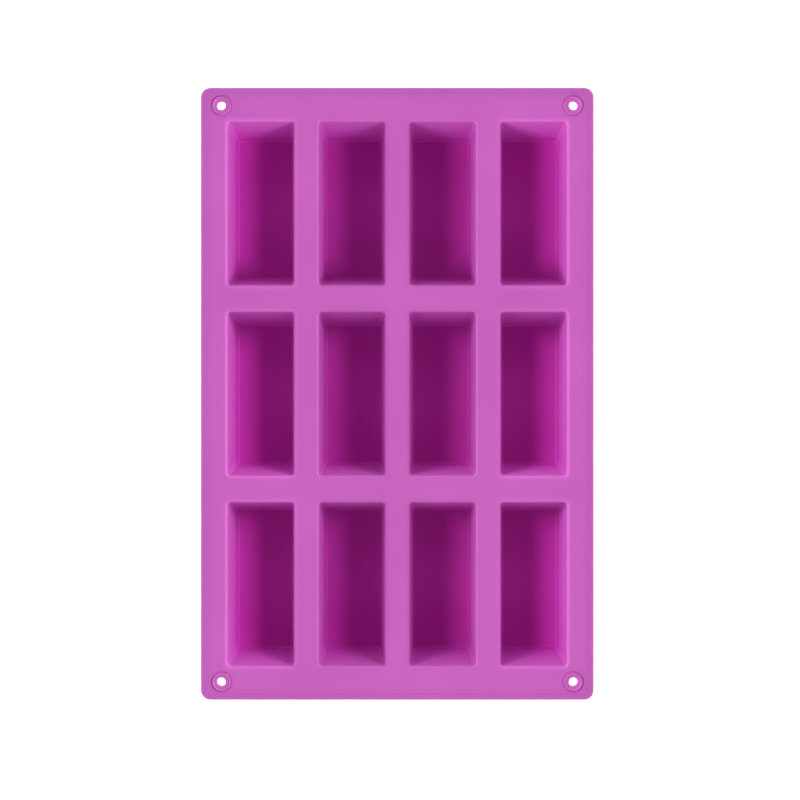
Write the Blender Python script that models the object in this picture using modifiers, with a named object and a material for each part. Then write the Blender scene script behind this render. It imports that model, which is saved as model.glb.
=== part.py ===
"""Soap loaf mould: one silicone moulding with a grid of tapered loaf cups under a flat deck.

The frame is +Z up, X across the mould and Y along it. The origin is the centre of the plane
that the cup floors stand on. Row 1 is the back row (+Y) and column 1 the left one (-X).
"""

import math

import bmesh
import bpy

MM = 0.001

# Pockets: the loaf-shaped hollows. Width and length are taken at the mouth, without its round lip.
ROWS = 3
COLUMNS = 4
POCKET_WIDTH = 32.0 * MM
POCKET_LENGTH = 79.0 * MM
POCKET_DEPTH = 28.0 * MM
SIDE_DRAFT = 2.3 * MM  # how far each long wall leans in between mouth and floor
END_DRAFT = 4.9 * MM  # the same for the two short walls
POCKET_CORNER = 1.3 * MM
FLOOR_FILLET = 1.3 * MM
LIP_RADIUS = 1.2 * MM
WALL = 2.2 * MM
FLOOR_THICKNESS = 2.2 * MM
FOOT_RADIUS = 2.0 * MM  # round edge under each cup

# Deck: the flat sheet that joins the cups.
DECK_THICKNESS = 2.2 * MM
COLUMN_WEB = 12.0 * MM  # deck left between two mouths, across the mould
ROW_WEB = 13.0 * MM  # the same along the mould
SIDE_MARGIN = 13.0 * MM  # deck outside the outer mouths
DECK_CORNER = 4.6 * MM
EDGE_HEIGHT = 3.8 * MM  # the down-turned edge that stiffens the deck
EDGE_WIDTH = 2.8 * MM
EDGE_ROUND = 0.6 * MM
ROLL_WIDTH = 4.2 * MM  # the top falls away over this width towards the edge
ROLL_DROP = 1.0 * MM

# Eyelets: a ring with a raised bead round each corner's hanging hole.
HOLE_RADIUS = 2.2 * MM
PAD_RADIUS = 3.3 * MM  # the flat ring round the hole
PAD_HEIGHT = 0.4 * MM
BEAD_RADIUS = 4.2 * MM  # the bead's crest
EYELET_RADIUS = 5.1 * MM
BEAD_HEIGHT = 0.7 * MM
EYELET_FROM_SIDE = 10.0 * MM
EYELET_FROM_END = 8.8 * MM
EYELET_TO_MOUTH = 2.6 * MM  # flat deck between an eyelet and the end of a pocket

SEAM = 0.3 * MM  # gap between neighbouring solids of the one moulding
CUT = 2.0 * MM  # how far a cutter reaches past what it cuts

# Facets.
CORNER_STEPS = 3
ROUND_STEPS = 3
LIP_STEPS = 4
TURN_STEPS = 28

# What follows from the sizes above.
DECK_TOP = FLOOR_THICKNESS + POCKET_DEPTH
DECK_UNDERSIDE = DECK_TOP - DECK_THICKNESS
END_MARGIN = EYELET_FROM_END + EYELET_RADIUS + EYELET_TO_MOUTH
COLUMN_PITCH = POCKET_WIDTH + COLUMN_WEB
ROW_PITCH = POCKET_LENGTH + ROW_WEB
MOULD_WIDTH = COLUMNS * COLUMN_PITCH - COLUMN_WEB + 2 * SIDE_MARGIN
MOULD_LENGTH = ROWS * ROW_PITCH - ROW_WEB + 2 * END_MARGIN
SMALLEST_CORNER = 0.15 * MM

SILICONE_COLOUR = (0.62, 0.085, 0.50, 1.0)


def clear_scene():
    for thing in list(bpy.data.objects):
        bpy.data.objects.remove(thing, do_unlink=True)


def new_collection(name):
    made = bpy.data.collections.new(name)
    bpy.context.scene.collection.children.link(made)
    return made


def silicone():
    material = bpy.data.materials.new("orchid_silicone")
    material.use_nodes = True
    shader = material.node_tree.nodes["Principled BSDF"]
    shader.inputs["Base Color"].default_value = SILICONE_COLOUR
    shader.inputs["Roughness"].default_value = 0.45
    shader.inputs["Metallic"].default_value = 0.0
    material.diffuse_color = SILICONE_COLOUR
    return material


def quarter_turn(steps):
    """(sine, cosine) from 0 to 90 degrees."""
    return [
        (math.sin(math.pi / 2 * i / steps), math.cos(math.pi / 2 * i / steps))
        for i in range(steps + 1)
    ]


def rounded_rectangle(half_x, half_y, corner, z):
    """Points of a rectangle with round corners, anticlockwise seen from above."""
    corner = min(max(corner, SMALLEST_CORNER), half_x, half_y)
    points = []
    for turn, (side_x, side_y) in enumerate(((1, 1), (-1, 1), (-1, -1), (1, -1))):
        for step in range(CORNER_STEPS + 1):
            angle = math.pi / 2 * (turn + step / CORNER_STEPS)
            points.append(
                (
                    side_x * (half_x - corner) + corner * math.cos(angle),
                    side_y * (half_y - corner) + corner * math.sin(angle),
                    z,
                )
            )
    return points


def loft(name, rings):
    """A closed mesh through rings of equally many points, capped at the first and the last."""
    bm = bmesh.new()
    corners = [bm.verts.new(point) for point in rings[0]]
    edges = [bm.edges.new(pair) for pair in zip(corners, corners[1:] + corners[:1])]
    for ring in rings[1:]:
        grown = bmesh.ops.extrude_edge_only(bm, edges=edges)["geom"]
        fresh = {part for part in grown if isinstance(part, bmesh.types.BMVert)}
        # Each corner of the last ring is joined by one edge to the corner that grew from it.
        corners = [
            next(edge.other_vert(corner) for edge in corner.link_edges if edge.other_vert(corner) in fresh)
            for corner in corners
        ]
        for corner, point in zip(corners, ring):
            corner.co = point
        edges = [part for part in grown if isinstance(part, bmesh.types.BMEdge)]
    bmesh.ops.holes_fill(bm, edges=bm.edges, sides=0)
    bmesh.ops.recalc_face_normals(bm, faces=bm.faces)
    mesh = bpy.data.meshes.new(name)
    bm.to_mesh(mesh)
    bm.free()
    return mesh


def pocket_half_sizes(z):
    """Half the pocket's width and length at a height, on its straight drafted walls."""
    below_mouth = (DECK_TOP - z) / POCKET_DEPTH
    return (
        POCKET_WIDTH / 2 - SIDE_DRAFT * below_mouth,
        POCKET_LENGTH / 2 - END_DRAFT * below_mouth,
    )


def pocket_ring(z, grow=0.0):
    half_x, half_y = pocket_half_sizes(z)
    return rounded_rectangle(half_x + grow, half_y + grow, POCKET_CORNER + grow, z)


def pocket_floor_rings():
    """The fillet between floor and walls, from the floor up."""
    return [
        pocket_ring(FLOOR_THICKNESS + FLOOR_FILLET * (1 - sine), -FLOOR_FILLET * (1 - cosine))
        for sine, cosine in reversed(quarter_turn(ROUND_STEPS))
    ]


def mouth_lip_rings():
    """The round lip where a wall turns into the deck, from the wall up."""
    return [
        pocket_ring(DECK_TOP - LIP_RADIUS * (1 - sine), LIP_RADIUS * (1 - cosine))
        for sine, cosine in quarter_turn(LIP_STEPS)
    ]


def cup_foot_rings():
    """The round edge under a cup, from the standing plane up."""
    return [
        pocket_ring(FOOT_RADIUS * (1 - sine), WALL - FOOT_RADIUS * (1 - cosine))
        for sine, cosine in reversed(quarter_turn(ROUND_STEPS))
    ]


def add_object(name, mesh, home, location=(0.0, 0.0, 0.0), material=None):
    made = bpy.data.objects.new(name, mesh)
    made.location = location
    home.objects.link(made)
    if material is not None and not mesh.materials:
        mesh.materials.append(material)
    return made


def add_cutter(name, mesh, home, location=(0.0, 0.0, 0.0)):
    cutter = add_object(name, mesh, home, location)
    cutter.hide_render = True
    cutter.display_type = "WIRE"
    return cutter


def cut_away(target, cutters):
    """Takes a collection of cutters out of the target."""
    boolean = target.modifiers.new("cut", "BOOLEAN")
    boolean.operation = "DIFFERENCE"
    boolean.solver = "EXACT"
    boolean.operand_type = "COLLECTION"
    boolean.collection = cutters


def solid_mesh(source, name):
    """The mesh that an object shows with its modifiers, as a mesh of its own."""
    graph = bpy.context.evaluated_depsgraph_get()
    mesh = bpy.data.meshes.new_from_object(source.evaluated_get(graph))
    mesh.name = name
    return mesh


def shade(mesh):
    mesh.shade_smooth()
    mesh.set_sharp_from_angle(angle=math.radians(35))


def pocket_centres():
    """(row, column, x, y) of each pocket, back row first."""
    for row in range(ROWS):
        for column in range(COLUMNS):
            x = (column - (COLUMNS - 1) / 2) * COLUMN_PITCH
            y = ((ROWS - 1) / 2 - row) * ROW_PITCH
            yield row + 1, column + 1, x, y


def eyelet_centres():
    """(name, x, y) of each corner's hanging hole."""
    x = MOULD_WIDTH / 2 - EYELET_FROM_SIDE
    y = MOULD_LENGTH / 2 - EYELET_FROM_END
    for end, side_y in (("back", 1), ("front", -1)):
        for side, side_x in (("left", -1), ("right", 1)):
            yield f"{end}_{side}", side_x * x, side_y * y


def deck_blank_mesh():
    """The deck before it is pierced: a tray turned upside down, with a stiffening edge all round."""

    def ring(inset, z):
        return rounded_rectangle(
            MOULD_WIDTH / 2 - inset, MOULD_LENGTH / 2 - inset, DECK_CORNER - inset, z
        )

    edge_bottom = DECK_TOP - EDGE_HEIGHT
    rings = [ring(EDGE_WIDTH, DECK_UNDERSIDE), ring(EDGE_WIDTH, edge_bottom)]
    rings += [
        ring(EDGE_ROUND * (1 - cosine), edge_bottom + EDGE_ROUND * (1 - sine))
        for sine, cosine in reversed(quarter_turn(ROUND_STEPS))
    ]
    # A quarter ellipse from the outer edge to the flat of the deck.
    rings += [
        ring(ROLL_WIDTH * (1 - cosine), DECK_TOP - ROLL_DROP * (1 - sine))
        for sine, cosine in quarter_turn(LIP_STEPS + 1)
    ]
    return loft("deck", rings)


def mouth_cutter_mesh():
    """What a pocket takes out of the deck: its drafted walls and, at the top, the flare of its lip."""
    rings = [pocket_ring(DECK_UNDERSIDE - EDGE_HEIGHT)]
    rings += mouth_lip_rings()
    rings.append(pocket_ring(DECK_TOP + CUT, LIP_RADIUS - SIDE_DRAFT * CUT / POCKET_DEPTH))
    return loft("mouth_cutter", rings)


def eyelet_cutter_mesh():
    bm = bmesh.new()
    radius = EYELET_RADIUS + SEAM
    bmesh.ops.create_cone(
        bm,
        cap_ends=True,
        segments=TURN_STEPS,
        radius1=radius,
        radius2=radius,
        depth=2 * (EDGE_HEIGHT + CUT),
    )
    mesh = bpy.data.meshes.new("eyelet_cutter")
    bm.to_mesh(mesh)
    bm.free()
    return mesh


def build_deck(home, cutters, material):
    deck = add_object("deck", deck_blank_mesh(), home, material=material)
    mouth = mouth_cutter_mesh()
    for row, column, x, y in pocket_centres():
        add_cutter(f"mouth_cutter_row{row}_col{column}", mouth, cutters, (x, y, 0.0))
    hole = eyelet_cutter_mesh()
    for corner, x, y in eyelet_centres():
        add_cutter(f"eyelet_cutter_{corner}", hole, cutters, (x, y, DECK_TOP))
    cut_away(deck, cutters)


def cup_mesh(helpers):
    """One cup: a tapered box with rounded edges, hollowed by the pocket."""
    top = DECK_UNDERSIDE - SEAM
    block = add_object(
        "cup_block", loft("cup_block", cup_foot_rings() + [pocket_ring(top, WALL)]), helpers
    )
    hollow_rings = pocket_floor_rings() + [pocket_ring(top + CUT)]
    hollow = add_cutter("cup_hollow", loft("cup_hollow", hollow_rings), helpers)
    boolean = block.modifiers.new("hollow", "BOOLEAN")
    boolean.operation = "DIFFERENCE"
    boolean.solver = "EXACT"
    boolean.object = hollow
    mesh = solid_mesh(block, "cup")
    for helper in (block, hollow):
        bpy.data.objects.remove(helper, do_unlink=True)
    shade(mesh)
    return mesh


def build_cups(home, helpers, material):
    mesh = cup_mesh(helpers)
    for row, column, x, y in pocket_centres():
        add_object(f"loaf_cup_row{row}_col{column}", mesh, home, (x, y, 0.0), material)


def eyelet_profile():
    """The ring's section, (radius, height) from the hole's top edge round to its bottom edge."""
    pad_top = DECK_TOP + PAD_HEIGHT
    bead_rise = [
        (
            PAD_RADIUS + (BEAD_RADIUS - PAD_RADIUS) * i / ROUND_STEPS,
            pad_top + (BEAD_HEIGHT - PAD_HEIGHT) * (1 - math.cos(math.pi * i / ROUND_STEPS)) / 2,
        )
        for i in range(ROUND_STEPS + 1)
    ]
    bead_fall = [
        (
            BEAD_RADIUS + (EYELET_RADIUS - BEAD_RADIUS) * math.sin(math.pi / 2 * i / ROUND_STEPS),
            DECK_TOP + BEAD_HEIGHT * math.cos(math.pi / 2 * i / ROUND_STEPS),
        )
        for i in range(1, ROUND_STEPS + 1)
    ]
    foot = [(EYELET_RADIUS, DECK_UNDERSIDE), (HOLE_RADIUS, DECK_UNDERSIDE)]
    return [(HOLE_RADIUS, pad_top), *bead_rise, *bead_fall, *foot]


def eyelet_mesh(helpers):
    bm = bmesh.new()
    corners = [bm.verts.new((radius, 0.0, z)) for radius, z in eyelet_profile()]
    for pair in zip(corners, corners[1:] + corners[:1]):
        bm.edges.new(pair)
    profile_mesh = bpy.data.meshes.new("eyelet_profile")
    bm.to_mesh(profile_mesh)
    bm.free()
    profile = add_object("eyelet_profile", profile_mesh, helpers)
    screw = profile.modifiers.new("turn", "SCREW")
    screw.steps = TURN_STEPS
    screw.render_steps = TURN_STEPS
    screw.use_merge_vertices = True
    screw.merge_threshold = 0.00001
    mesh = solid_mesh(profile, "eyelet")
    bpy.data.objects.remove(profile, do_unlink=True)
    shade(mesh)
    return mesh


def build_eyelets(home, helpers, material):
    mesh = eyelet_mesh(helpers)
    for corner, x, y in eyelet_centres():
        add_object(f"hanging_eyelet_{corner}", mesh, home, (x, y, 0.0), material)


def main():
    clear_scene()
    mould = new_collection("soap_loaf_mould")
    cutters = new_collection("cutters")
    material = silicone()
    build_cups(mould, cutters, material)
    build_eyelets(mould, cutters, material)
    build_deck(mould, cutters, material)


main()
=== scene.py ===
import math

import bmesh
import bpy
from mathutils import Matrix, Vector


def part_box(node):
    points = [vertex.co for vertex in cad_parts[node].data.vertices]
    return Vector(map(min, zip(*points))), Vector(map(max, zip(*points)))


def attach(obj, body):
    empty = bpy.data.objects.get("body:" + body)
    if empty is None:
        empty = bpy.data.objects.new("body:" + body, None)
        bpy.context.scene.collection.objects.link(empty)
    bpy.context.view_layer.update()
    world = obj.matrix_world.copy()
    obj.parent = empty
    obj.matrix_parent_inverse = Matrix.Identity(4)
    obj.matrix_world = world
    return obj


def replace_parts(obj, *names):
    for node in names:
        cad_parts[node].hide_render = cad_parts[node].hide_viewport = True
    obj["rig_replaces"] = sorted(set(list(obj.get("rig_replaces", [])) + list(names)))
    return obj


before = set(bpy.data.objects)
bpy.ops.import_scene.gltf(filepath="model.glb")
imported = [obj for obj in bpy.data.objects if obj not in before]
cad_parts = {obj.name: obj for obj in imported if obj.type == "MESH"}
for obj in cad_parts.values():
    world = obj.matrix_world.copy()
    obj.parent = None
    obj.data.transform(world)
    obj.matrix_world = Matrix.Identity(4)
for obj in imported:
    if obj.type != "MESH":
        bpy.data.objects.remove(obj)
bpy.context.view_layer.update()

# --- Silicone ---------------------------------------------------------------------------
# The whole mould is one silicone, coloured orchid right through. The skin is satin, as from
# a blasted press tool, with a fine grain and faint clouds where the rubber flowed.

MM = 0.001
PAINTED_RIM_SHADE_WIDTH = 6.5 * MM

silicone = bpy.data.materials.new("orchid_silicone")
silicone.use_nodes = True
nodes = silicone.node_tree.nodes
links = silicone.node_tree.links
rubber = nodes["Principled BSDF"]
rubber.inputs["IOR"].default_value = 1.42
rubber.inputs["Specular IOR Level"].default_value = 0.7

place = nodes.new("ShaderNodeTexCoord")
clouds = nodes.new("ShaderNodeTexNoise")
clouds.inputs["Scale"].default_value = 26.0
clouds.inputs["Detail"].default_value = 3.0
clouds.inputs["Roughness"].default_value = 0.5
links.new(place.outputs["Object"], clouds.inputs["Vector"])
shift = nodes.new("ShaderNodeMapRange")
shift.inputs["From Min"].default_value = 0.3
shift.inputs["From Max"].default_value = 0.7
shift.inputs["To Min"].default_value = 0.97
shift.inputs["To Max"].default_value = 1.03
links.new(clouds.outputs["Fac"], shift.inputs["Value"])
split = nodes.new("ShaderNodeSeparateXYZ")
links.new(place.outputs["Object"], split.inputs["Vector"])

# Painted shade: the base colour darkens over the last 6.5 mm out to the rim, standing in for the
# shade on the rim band.
deck_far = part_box("deck")[1]
from_rim = []
for axis, far in (("X", deck_far.x), ("Y", deck_far.y)):
    across = nodes.new("ShaderNodeMath")
    across.operation = "ABSOLUTE"
    links.new(split.outputs[axis], across.inputs[0])
    inward = nodes.new("ShaderNodeMath")
    inward.operation = "SUBTRACT"
    inward.inputs[0].default_value = far
    links.new(across.outputs["Value"], inward.inputs[1])
    from_rim.append(inward)
nearest = nodes.new("ShaderNodeMath")
nearest.operation = "MINIMUM"
links.new(from_rim[0].outputs["Value"], nearest.inputs[0])
links.new(from_rim[1].outputs["Value"], nearest.inputs[1])
painted_rim_shade = nodes.new("ShaderNodeMapRange")
painted_rim_shade.inputs["From Max"].default_value = PAINTED_RIM_SHADE_WIDTH
painted_rim_shade.inputs["To Min"].default_value = 0.88
painted_rim_shade.inputs["To Max"].default_value = 1.0
links.new(nearest.outputs["Value"], painted_rim_shade.inputs["Value"])
# The painted rim shade times the random cloud tone.
painted_shade_and_clouds = nodes.new("ShaderNodeMath")
painted_shade_and_clouds.operation = "MULTIPLY"
links.new(painted_rim_shade.outputs["Result"], painted_shade_and_clouds.inputs[0])
links.new(shift.outputs["Result"], painted_shade_and_clouds.inputs[1])

# Painted shade: the base colour is deeper and redder down in the pockets, standing in for the dim,
# saturated light that reaches their walls and floors.
depth = nodes.new("ShaderNodeMapRange")
depth.inputs["From Min"].default_value = 2.0 * MM
depth.inputs["From Max"].default_value = 30.0 * MM
links.new(split.outputs["Z"], depth.inputs["Value"])
painted_pocket_shade = nodes.new("ShaderNodeValToRGB")
painted_pocket_shade.color_ramp.elements[0].color = (0.60, 0.022, 0.455, 1.0)
painted_pocket_shade.color_ramp.elements[1].color = (0.585, 0.112, 0.52, 1.0)
halfway = painted_pocket_shade.color_ramp.elements.new(0.55)
halfway.color = (0.60, 0.092, 0.53, 1.0)
low_wall = painted_pocket_shade.color_ramp.elements.new(0.14)
low_wall.color = (0.59, 0.054, 0.515, 1.0)
links.new(depth.outputs["Result"], painted_pocket_shade.inputs["Fac"])
# Base colour: the painted pocket shade, scaled by the painted rim shade and the cloud tone.
painted_shade_with_clouds = nodes.new("ShaderNodeVectorMath")
painted_shade_with_clouds.operation = "SCALE"
links.new(painted_pocket_shade.outputs["Color"], painted_shade_with_clouds.inputs[0])
links.new(painted_shade_and_clouds.outputs["Value"], painted_shade_with_clouds.inputs["Scale"])
links.new(painted_shade_with_clouds.outputs["Vector"], rubber.inputs["Base Color"])

grain = nodes.new("ShaderNodeTexNoise")
grain.inputs["Scale"].default_value = 2600.0
grain.inputs["Detail"].default_value = 2.0
links.new(place.outputs["Object"], grain.inputs["Vector"])
satin = nodes.new("ShaderNodeMapRange")
satin.inputs["To Min"].default_value = 0.46
satin.inputs["To Max"].default_value = 0.6
links.new(clouds.outputs["Fac"], satin.inputs["Value"])
links.new(satin.outputs["Result"], rubber.inputs["Roughness"])

flow = nodes.new("ShaderNodeTexNoise")
flow.inputs["Scale"].default_value = 90.0
flow.inputs["Detail"].default_value = 1.0
links.new(place.outputs["Object"], flow.inputs["Vector"])
flow_bump = nodes.new("ShaderNodeBump")
flow_bump.inputs["Strength"].default_value = 0.25
flow_bump.inputs["Distance"].default_value = 0.1 * MM
links.new(flow.outputs["Fac"], flow_bump.inputs["Height"])
grain_bump = nodes.new("ShaderNodeBump")
grain_bump.inputs["Strength"].default_value = 0.35
grain_bump.inputs["Distance"].default_value = 0.02 * MM
links.new(grain.outputs["Fac"], grain_bump.inputs["Height"])
links.new(flow_bump.outputs["Normal"], grain_bump.inputs["Normal"])
links.new(grain_bump.outputs["Normal"], rubber.inputs["Normal"])

# --- Loaf cups --------------------------------------------------------------------------
# Twelve tapered cups of even wall, pressed in one shot with the deck. Each starts as the
# patch of deck round its mouth: the top face of the patch is sunk into the pocket, and the
# bottom face is drawn down into the outside of the cup.

DECK_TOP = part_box("deck")[1].z
DECK_THICKNESS = 2.2 * MM
DECK_UNDERSIDE = DECK_TOP - DECK_THICKNESS
MOUTH_HALF = Vector((16.0, 39.5)) * MM
DRAFT = Vector((2.3, 4.9)) * MM
POCKET_DEPTH = 28.0 * MM
WALL = 2.2 * MM
LIP_REACH = 1.3 * MM  # how far the mouth's round lip reaches into the deck
LIP_DROP = 0.8 * MM
FLOOR_ROUND = 0.95 * MM
FOOT_ROUND = 1.6 * MM
UNDER_ROUND = 0.6 * MM
PATCH_HALF = MOUTH_HALF + Vector((2.8, 2.8)) * MM  # at the deck's underside
PATCH_TOP_HALF = MOUTH_HALF + Vector((1.8, 1.8)) * MM
PATCH_CORNER = 3.2 * MM
CORNER_STEPS = 6
ARC_STEPS = 8
SAME_LEVEL = 0.001 * MM


def upright_block(bm, half, corner, bottom, top):
    """A block with round upright corners, round the middle. Returns its corners."""
    corners = bmesh.ops.create_cube(bm, size=1.0)["verts"]
    size = (2 * half[0], 2 * half[1], top - bottom)
    bmesh.ops.scale(bm, vec=size, verts=corners)
    bmesh.ops.translate(bm, vec=(0.0, 0.0, (top + bottom) / 2), verts=corners)
    uprights = [
        edge
        for edge in bm.edges
        if all(vert in corners for vert in edge.verts)
        and abs(edge.verts[0].co.z - edge.verts[1].co.z) > (top - bottom) / 2
    ]
    return bmesh.ops.bevel(
        bm,
        geom=uprights,
        offset=corner,
        offset_type="OFFSET",
        segments=CORNER_STEPS,
        profile=0.5,
        affect="EDGES",
        material=-1,
    )["verts"]


def patch_block(bm, bottom, top):
    """The patch of deck that belongs to a cup, wider below than above, between two heights."""
    corners = upright_block(bm, PATCH_HALF, PATCH_CORNER, bottom, top)
    for z in (bottom, top):
        share = (z - DECK_UNDERSIDE) / DECK_THICKNESS
        half = PATCH_HALF + (PATCH_TOP_HALF - PATCH_HALF) * share
        level = [vert for vert in corners if abs(vert.co.z - z) < SAME_LEVEL]
        scale = (half.x / PATCH_HALF.x, half.y / PATCH_HALF.y, 1.0)
        bmesh.ops.scale(bm, vec=scale, verts=level)
    return corners


def end_face(bm, z):
    """The level face at a height that has the largest area."""
    level = [
        face
        for face in bm.faces
        if all(abs(vert.co.z - z) < SAME_LEVEL for vert in face.verts)
    ]
    return max(level, key=lambda face: face.calc_area())


def draw_face(bm, face, half_from, half_to, drop):
    """Pulls a face straight down and scales it from one half size to another."""
    face = bmesh.ops.extrude_discrete_faces(bm, faces=[face])["faces"][0]
    middle = face.calc_center_median()
    scale = (half_to[0] / half_from[0], half_to[1] / half_from[1], 1.0)
    bmesh.ops.scale(bm, vec=scale, verts=face.verts, space=Matrix.Translation(-middle))
    bmesh.ops.translate(bm, vec=(0.0, 0.0, -drop), verts=face.verts)
    return face


def round_face(bm, face, reach, rise, first_level, outward=1.0):
    """Insets a face along a quarter ellipse that starts level or upright."""
    for step in range(ARC_STEPS):
        before = math.pi / 2 * step / ARC_STEPS
        after = math.pi / 2 * (step + 1) / ARC_STEPS
        early = math.sin(after) - math.sin(before)
        late = math.cos(before) - math.cos(after)
        bmesh.ops.inset_individual(
            bm,
            faces=[face],
            thickness=reach * (early if first_level else late),
            depth=outward * rise * (late if first_level else early),
            use_even_offset=True,
        )
    return face


def cup_half(z):
    """Half the width and length of the pocket's straight walls at a height."""
    return MOUTH_HALF - DRAFT * ((DECK_TOP - z) / POCKET_DEPTH)


def finish_silicone(name, bm):
    """Turns a bmesh into a silicone piece with crisp flats and smooth rounds."""
    mesh = bpy.data.meshes.new(name)
    bm.to_mesh(mesh)
    bm.free()
    mesh.shade_smooth()
    mesh.set_sharp_from_angle(angle=math.radians(40))
    mesh.materials.append(silicone)
    piece = bpy.data.objects.new(name, mesh)
    bpy.context.scene.collection.objects.link(piece)
    weighted = piece.modifiers.new("flats", "WEIGHTED_NORMAL")
    weighted.keep_sharp = True
    return piece


def make_cup(name, middle):
    bm = bmesh.new()
    patch_block(bm, DECK_UNDERSIDE, DECK_TOP)

    # The pocket: a flat margin, the round lip, the drafted walls and the floor's fillet.
    inside = end_face(bm, DECK_TOP)
    lip_half = MOUTH_HALF + Vector((LIP_REACH, LIP_REACH))
    inside = draw_face(bm, inside, PATCH_TOP_HALF, lip_half, 0.0)
    inside = round_face(bm, inside, LIP_REACH, LIP_DROP, first_level=True, outward=-1.0)
    wall_top = DECK_TOP - LIP_DROP
    wall_bottom = DECK_TOP - POCKET_DEPTH + FLOOR_ROUND
    inside = draw_face(bm, inside, MOUTH_HALF, cup_half(wall_bottom), wall_top - wall_bottom)
    round_face(bm, inside, FLOOR_ROUND, FLOOR_ROUND, first_level=False, outward=-1.0)

    # The outside: a fillet under the deck, the drafted walls and the foot's round edge.
    outside = end_face(bm, DECK_UNDERSIDE)
    skin = Vector((WALL, WALL))
    fillet = Vector((UNDER_ROUND, UNDER_ROUND))
    neck_half = cup_half(DECK_UNDERSIDE - UNDER_ROUND) + skin
    outside = draw_face(bm, outside, PATCH_HALF, neck_half + fillet, 0.0)
    outside = round_face(bm, outside, UNDER_ROUND, UNDER_ROUND, first_level=True)
    neck = DECK_UNDERSIDE - UNDER_ROUND
    outside = draw_face(bm, outside, neck_half, cup_half(FOOT_ROUND) + skin, neck - FOOT_ROUND)
    round_face(bm, outside, FOOT_ROUND, FOOT_ROUND, first_level=False)

    bmesh.ops.translate(bm, vec=(middle.x, middle.y, 0.0), verts=bm.verts)
    return finish_silicone(name, bm)


cups = []
for node in sorted(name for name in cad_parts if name.startswith("loaf_cup")):
    low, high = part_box(node)
    cup = make_cup(node.replace("loaf_cup", "silicone_cup"), (low + high) / 2)
    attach(cup, "root")
    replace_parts(cup, node)
    cups.append(cup)

# --- Eyelets ----------------------------------------------------------------------------
# A ring with a raised bead and a fine groove round the hanging hole in each corner, moulded
# with the deck. The bead keeps a hook from tearing the rubber.

HOLE_RADIUS = 2.2 * MM
HOLE_ROUND = 0.3 * MM
PAD_RADIUS = 3.3 * MM
PAD_HEIGHT = 0.4 * MM
BEAD_RADIUS = 4.15 * MM
BEAD_HEIGHT = 0.85 * MM
GROOVE_RADIUS = 4.8 * MM
GROOVE_DEPTH = 0.3 * MM
EYELET_RADIUS = 5.1 * MM
TURN_STEPS = 64


def eyelet_profile():
    """(radius, height) up the hole's wall and outwards over the pad, the bead and the groove."""
    yield HOLE_RADIUS, DECK_UNDERSIDE
    for step in range(ARC_STEPS + 1):
        turn = math.pi / 2 * step / ARC_STEPS
        yield (
            HOLE_RADIUS + HOLE_ROUND * (1 - math.cos(turn)),
            DECK_TOP + PAD_HEIGHT - HOLE_ROUND * (1 - math.sin(turn)),
        )
    yield PAD_RADIUS, DECK_TOP + PAD_HEIGHT
    bends = (
        (PAD_RADIUS, PAD_HEIGHT),
        (BEAD_RADIUS, BEAD_HEIGHT),
        (GROOVE_RADIUS, -GROOVE_DEPTH),
        (EYELET_RADIUS, 0.0),
    )
    for (near, start), (far, end) in zip(bends, bends[1:]):
        for step in range(1, ARC_STEPS + 1):
            share = step / ARC_STEPS
            blend = (1 - math.cos(math.pi * share)) / 2
            yield near + (far - near) * share, DECK_TOP + start + (end - start) * blend
    yield EYELET_RADIUS, DECK_UNDERSIDE


eyelets = []
for node in sorted(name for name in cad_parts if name.startswith("hanging_eyelet")):
    low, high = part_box(node)
    middle = (low + high) / 2
    bm = bmesh.new()
    rim = [bm.verts.new((radius, 0.0, z)) for radius, z in eyelet_profile()]
    edges = [bm.edges.new(pair) for pair in zip(rim, rim[1:] + rim[:1])]
    bmesh.ops.spin(
        bm,
        geom=rim + edges,
        cent=(0.0, 0.0, 0.0),
        axis=(0.0, 0.0, 1.0),
        angle=2 * math.pi,
        steps=TURN_STEPS,
        use_merge=True,
    )
    bmesh.ops.remove_doubles(bm, verts=bm.verts, dist=1e-7)
    bmesh.ops.recalc_face_normals(bm, faces=bm.faces)
    bmesh.ops.translate(bm, vec=(middle.x, middle.y, 0.0), verts=bm.verts)
    eyelet = finish_silicone(node.replace("hanging_eyelet", "silicone_eyelet"), bm)
    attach(eyelet, "root")
    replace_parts(eyelet, node)
    eyelets.append(eyelet)

# --- Deck -------------------------------------------------------------------------------
# The flat sheet between the cups. A shallow line runs round it where the rim begins, and the
# rim turns down into a stiffening edge, so that the full mould can be carried.

DECK_CORNER = 4.6 * MM
EDGE_HEIGHT = 3.8 * MM
EDGE_WIDTH = 2.8 * MM
EDGE_ROUND = 0.6 * MM
RIM_ROUND_REACH = 1.2 * MM
RIM_ROUND_DROP = 1.0 * MM
RIM_WIDTH = 2.9 * MM  # out to the middle of the line
LINE_WIDTH = 0.7 * MM
LINE_DEPTH = 0.2 * MM
CUT = 0.6 * MM

deck_low, deck_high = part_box("deck")
deck_half = Vector((deck_high.x - deck_low.x, deck_high.y - deck_low.y)) / 2
edge_bottom = DECK_TOP - EDGE_HEIGHT

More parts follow.
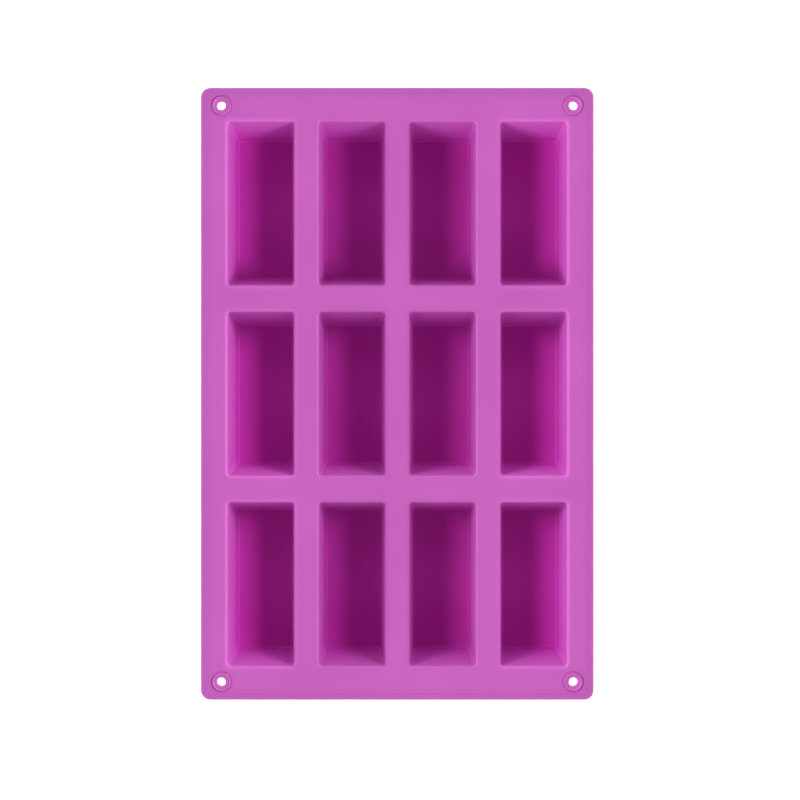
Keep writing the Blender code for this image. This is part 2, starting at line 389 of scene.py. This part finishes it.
bm = bmesh.new()
side_top = DECK_TOP - RIM_ROUND_DROP
side_bottom = edge_bottom + EDGE_ROUND
upright_block(bm, deck_half, DECK_CORNER, side_bottom, side_top)
top = round_face(
    bm, end_face(bm, side_top), RIM_ROUND_REACH, RIM_ROUND_DROP, first_level=False
)
bmesh.ops.inset_individual(
    bm,
    faces=[top],
    thickness=RIM_WIDTH - RIM_ROUND_REACH - LINE_WIDTH / 2,
    depth=0.0,
    use_even_offset=True,
)
for sink in (-1, 1):
    for step in range(ARC_STEPS):
        before = math.cos(math.pi * step / ARC_STEPS)
        after = math.cos(math.pi * (step + 1) / ARC_STEPS)
        bmesh.ops.inset_individual(
            bm,
            faces=[top],
            thickness=LINE_WIDTH / 2 / ARC_STEPS,
            depth=sink * LINE_DEPTH * (before - after) / 2,
            use_even_offset=True,
        )
under = round_face(bm, end_face(bm, side_bottom), EDGE_ROUND, EDGE_ROUND, first_level=False)
bmesh.ops.inset_individual(
    bm, faces=[under], thickness=EDGE_WIDTH - EDGE_ROUND, depth=0.0, use_even_offset=True
)
draw_face(bm, under, (1.0, 1.0), (1.0, 1.0), edge_bottom - DECK_UNDERSIDE)
deck_mesh = bpy.data.meshes.new("deck_blank")
bm.to_mesh(deck_mesh)
bm.free()
blank = bpy.data.objects.new("deck_blank", deck_mesh)
bpy.context.scene.collection.objects.link(blank)

bm = bmesh.new()
for cup in cups:
    low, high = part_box(cup["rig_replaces"][0])
    window = patch_block(bm, DECK_UNDERSIDE - CUT, DECK_TOP + CUT)
    bmesh.ops.translate(bm, vec=(*((low + high).xy / 2), 0.0), verts=window)
for eyelet in eyelets:
    low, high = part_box(eyelet["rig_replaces"][0])
    hole = bmesh.ops.create_cone(
        bm,
        cap_ends=True,
        segments=TURN_STEPS,
        radius1=EYELET_RADIUS,
        radius2=EYELET_RADIUS,
        depth=DECK_THICKNESS + 2 * CUT,
    )
    height = (DECK_TOP + DECK_UNDERSIDE) / 2
    bmesh.ops.translate(bm, vec=(*((low + high).xy / 2), height), verts=hole["verts"])
window_mesh = bpy.data.meshes.new("deck_windows")
bm.to_mesh(window_mesh)
bm.free()
windows = bpy.data.objects.new("deck_windows", window_mesh)
bpy.context.scene.collection.objects.link(windows)

pierce = blank.modifiers.new("windows", "BOOLEAN")
pierce.operation = "DIFFERENCE"
pierce.solver = "EXACT"
pierce.object = windows
bm = bmesh.new()
bm.from_object(blank, bpy.context.evaluated_depsgraph_get())
for helper in (blank, windows):
    bpy.data.objects.remove(helper)
deck = finish_silicone("silicone_deck", bm)
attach(deck, "root")
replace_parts(deck, "deck")

# --- Table ------------------------------------------------------------------------------
# A matt white paper sweep, far larger than the mould, which stands on it on the undersides of
# its twelve cups.

sweep_mesh = bpy.data.meshes.new("white_sweep")
bm = bmesh.new()
bmesh.ops.create_grid(bm, x_segments=1, y_segments=1, size=3.0)
bm.to_mesh(sweep_mesh)
bm.free()
sweep = bpy.data.objects.new("white_sweep", sweep_mesh)
bpy.context.scene.collection.objects.link(sweep)
paper = bpy.data.materials.new("matt_white_paper")
paper.use_nodes = True
sheet = paper.node_tree.nodes["Principled BSDF"]
sheet.inputs["Base Color"].default_value = (0.93, 0.93, 0.93, 1.0)
sheet.inputs["Roughness"].default_value = 0.9
sheet.inputs["Specular IOR Level"].default_value = 0.1
sweep_mesh.materials.append(paper)

# --- Light ------------------------------------------------------------------------------
# A white studio wall rings the set to 50 degrees up. The outer cups, the inner cups and the
# eyelet of each corner have a soft box of their own across the middle of the mould, and the
# deck gets all four corners' alike. Row 2 is lit with row 3. The sweep has its own lamps.

KEY_ELEVATION = math.radians(44)
KEY_BEARING = math.radians(24)  # turned from the mould's width towards its length
KEY_SPREAD = math.radians(24)
WALL_LIGHT = 0.65  # shares of the light that falls on the deck
DECK_KEY = 1.0 - WALL_LIGHT
OUTER_KEY = 0.48
INNER_KEY = 0.32
WALL_RISE = 50  # degrees
WALL_FADE = 5  # degrees either side of the wall's top
ROW_PITCH = 92.0 * MM
COLUMN_PITCH = 44.0 * MM


def light_group(name, members):
    group = bpy.data.collections.new(name)
    for member in members:
        group.objects.link(member)
    return group


def soft_box(name, share, corner, receivers):
    """A far lamp that lights the deck with a share of the whole, facing one of its corners."""
    lamp = bpy.data.lights.new(name, "SUN")
    lamp.angle = KEY_SPREAD
    lamp.energy = math.pi * share / math.sin(KEY_ELEVATION)
    box = bpy.data.objects.new(name, lamp)
    towards = Vector(
        (
            -corner[0] * math.cos(KEY_ELEVATION) * math.cos(KEY_BEARING),
            -corner[1] * math.cos(KEY_ELEVATION) * math.sin(KEY_BEARING),
            math.sin(KEY_ELEVATION),
        )
    )
    box.location = towards
    box.rotation_euler = towards.to_track_quat("Z", "Y").to_euler()
    bpy.context.scene.collection.objects.link(box)
    box.light_linking.receiver_collection = receivers


lit_deck = light_group("lit_deck", [deck])
for side in (-1, 1):
    for end in (-1, 1):
        corner = f"{'front' if end < 0 else 'back'}_{'left' if side < 0 else 'right'}"
        outer = []
        inner = []
        rings = []
        for piece in cups + eyelets:
            low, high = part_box(piece["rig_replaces"][0])
            middle = (low + high) / 2
            from_centre = middle.x * side
            if from_centre > 0 and (middle.y > ROW_PITCH / 2) == (end > 0):
                if piece in eyelets:
                    rings.append(piece)
                else:
                    (outer if from_centre > COLUMN_PITCH else inner).append(piece)
        soft_box(f"outer_{corner}", OUTER_KEY, (side, end), light_group(f"outer_{corner}", outer))
        soft_box(f"inner_{corner}", INNER_KEY, (side, end), light_group(f"inner_{corner}", inner))
        soft_box(f"eyelet_{corner}", DECK_KEY, (side, end), light_group(f"eyelet_{corner}", rings))
        soft_box(f"deck_{corner}", DECK_KEY / 4, (side, end), lit_deck)

# One lamp on the sweep from straight above, and one from beside the lens that reaches
# down through the eyelets.
lit_sweep = light_group("lit_sweep", [sweep])
overhead = bpy.data.lights.new("sweep_lamp", "SUN")
overhead.energy = 1.3
overhead.angle = math.radians(8)
overhead_box = bpy.data.objects.new("sweep_lamp", overhead)
overhead_box.location = (0.0, 0.0, 1.0)
bpy.context.scene.collection.objects.link(overhead_box)
overhead_box.light_linking.receiver_collection = lit_sweep

world = bpy.data.worlds.new("studio")
world.use_nodes = True
backdrop = world.node_tree
room = backdrop.nodes.new("ShaderNodeTexCoord")
height = backdrop.nodes.new("ShaderNodeSeparateXYZ")
backdrop.links.new(room.outputs["Generated"], height.inputs["Vector"])
wall = backdrop.nodes.new("ShaderNodeMapRange")
wall.inputs["From Min"].default_value = math.sin(math.radians(WALL_RISE - WALL_FADE))
wall.inputs["From Max"].default_value = math.sin(math.radians(WALL_RISE + WALL_FADE))
wall.inputs["To Min"].default_value = WALL_LIGHT / math.sin(math.radians(WALL_RISE)) ** 2
wall.inputs["To Max"].default_value = 0.0
backdrop.links.new(height.outputs["Z"], wall.inputs["Value"])
backdrop.nodes["Background"].inputs["Color"].default_value = (1.0, 1.0, 1.0, 1.0)
backdrop.links.new(wall.outputs["Result"], backdrop.nodes["Background"].inputs["Strength"])
bpy.context.scene.world = world
bpy.context.scene.view_settings.view_transform = "Standard"

# --- Camera -----------------------------------------------------------------------------
# Straight above the mould, with its length upright in the frame. The small lamp beside the
# lens lights only the sweep, so that it shows white through the eyelets.

VIEW_WIDTH = 386.4 * MM  # seen across the deck's top
CAMERA_HEIGHT = 795.0 * MM  # above the deck's top
SENSOR = 36.0

lens = bpy.data.cameras.new("top_camera")
lens.sensor_width = SENSOR
lens.lens = SENSOR * CAMERA_HEIGHT / VIEW_WIDTH
camera = bpy.data.objects.new("top_camera", lens)
camera.location = (1.3 * MM, -3.0 * MM, DECK_TOP + CAMERA_HEIGHT)
bpy.context.scene.collection.objects.link(camera)
bpy.context.scene.camera = camera

lens_lamp = bpy.data.lights.new("lens_lamp", "AREA")
lens_lamp.shape = "DISK"
lens_lamp.size = 20.0 * MM
lens_lamp.energy = 9.0
lens_box = bpy.data.objects.new("lens_lamp", lens_lamp)
lens_box.location = camera.location
bpy.context.scene.collection.objects.link(lens_box)
lens_box.light_linking.receiver_collection = lit_sweep
